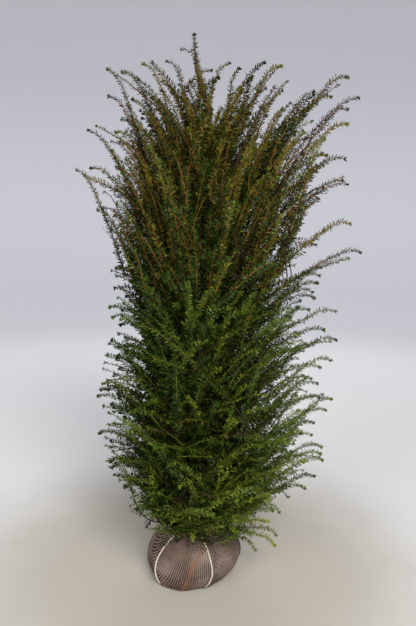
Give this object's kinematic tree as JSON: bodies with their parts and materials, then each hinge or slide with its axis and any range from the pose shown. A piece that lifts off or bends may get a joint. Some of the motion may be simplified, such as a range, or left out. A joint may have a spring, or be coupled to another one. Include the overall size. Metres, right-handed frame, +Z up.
{
  "type": "english yew",
  "caption": "Columnar nursery yew with tiers of arching, feathery shoots on a short stem, standing on its netted root ball.",
  "frame": {"origin": "centre of the root ball's flat underside, on the ground", "axes": "+Z up along the stem, +X towards the side with the longer shoots, -Y towards the front"},
  "size_m": [1.2627, 0.8988, 2.4662],
  "materials": {
    "netting": "matte, ribbed grey-brown netting over soil",
    "tie_cord": "matte cream cord",
    "bark": "matte, flaking red-brown bark",
    "foliage_low": "satin deep green needles",
    "foliage_middle": "satin green needles",
    "foliage_top": "satin olive needles on orange-brown shoots"
  },
  "bodies": {
    "root": {"belly_1": "foliage_low", "belly_2": "foliage_low", "belly_3": "foliage_low", "belly_4": "foliage_low", "belly_5": "foliage_low", "bough_fan_1": "bark", "bough_fan_2": "bark", "bough_fan_3": "bark", "bough_fan_4": "bark", "bough_fan_5": "bark", "bough_fan_6": "bark", "bough_spire_1": "bark", "bough_spire_2": "bark", "bough_spire_3": "bark", "bough_spire_4": "bark", "bough_spire_5": "bark", "bough_spire_6": "bark", "fan_1": "foliage_top", "fan_2": "foliage_top", "fan_3": "foliage_top", "fan_4": "foliage_top", "fan_5": "foliage_top", "fan_6": "foliage_top", "leader_plume": "foliage_top", "low_1": "foliage_low", "low_2": "foliage_low", "low_3": "foliage_low", "low_4": "foliage_low", "low_5": "foliage_low", "middle_1": "foliage_middle", "middle_2": "foliage_middle", "middle_3": "foliage_middle", "middle_4": "foliage_middle", "middle_5": "foliage_middle", "root_ball": "netting", "shoulder_1": "foliage_top", "shoulder_2": "foliage_top", "shoulder_3": "foliage_top", "shoulder_4": "foliage_top", "shoulder_5": "foliage_top", "shoulder_6": "foliage_top", "skirt_1": "foliage_low", "skirt_2": "foliage_low", "skirt_3": "foliage_low", "skirt_4": "foliage_low", "skirt_5": "foliage_low", "spire_1": "foliage_top", "spire_2": "foliage_top", "spire_3": "foliage_top", "spire_4": "foliage_top", "spire_5": "foliage_top", "spire_6": "foliage_top", "tie_cord": "tie_cord", "trunk": "bark", "waist_1": "foliage_middle", "waist_2": "foliage_middle", "waist_3": "foliage_middle", "waist_4": "foliage_middle", "waist_5": "foliage_middle"}
  },
  "joints": []
}
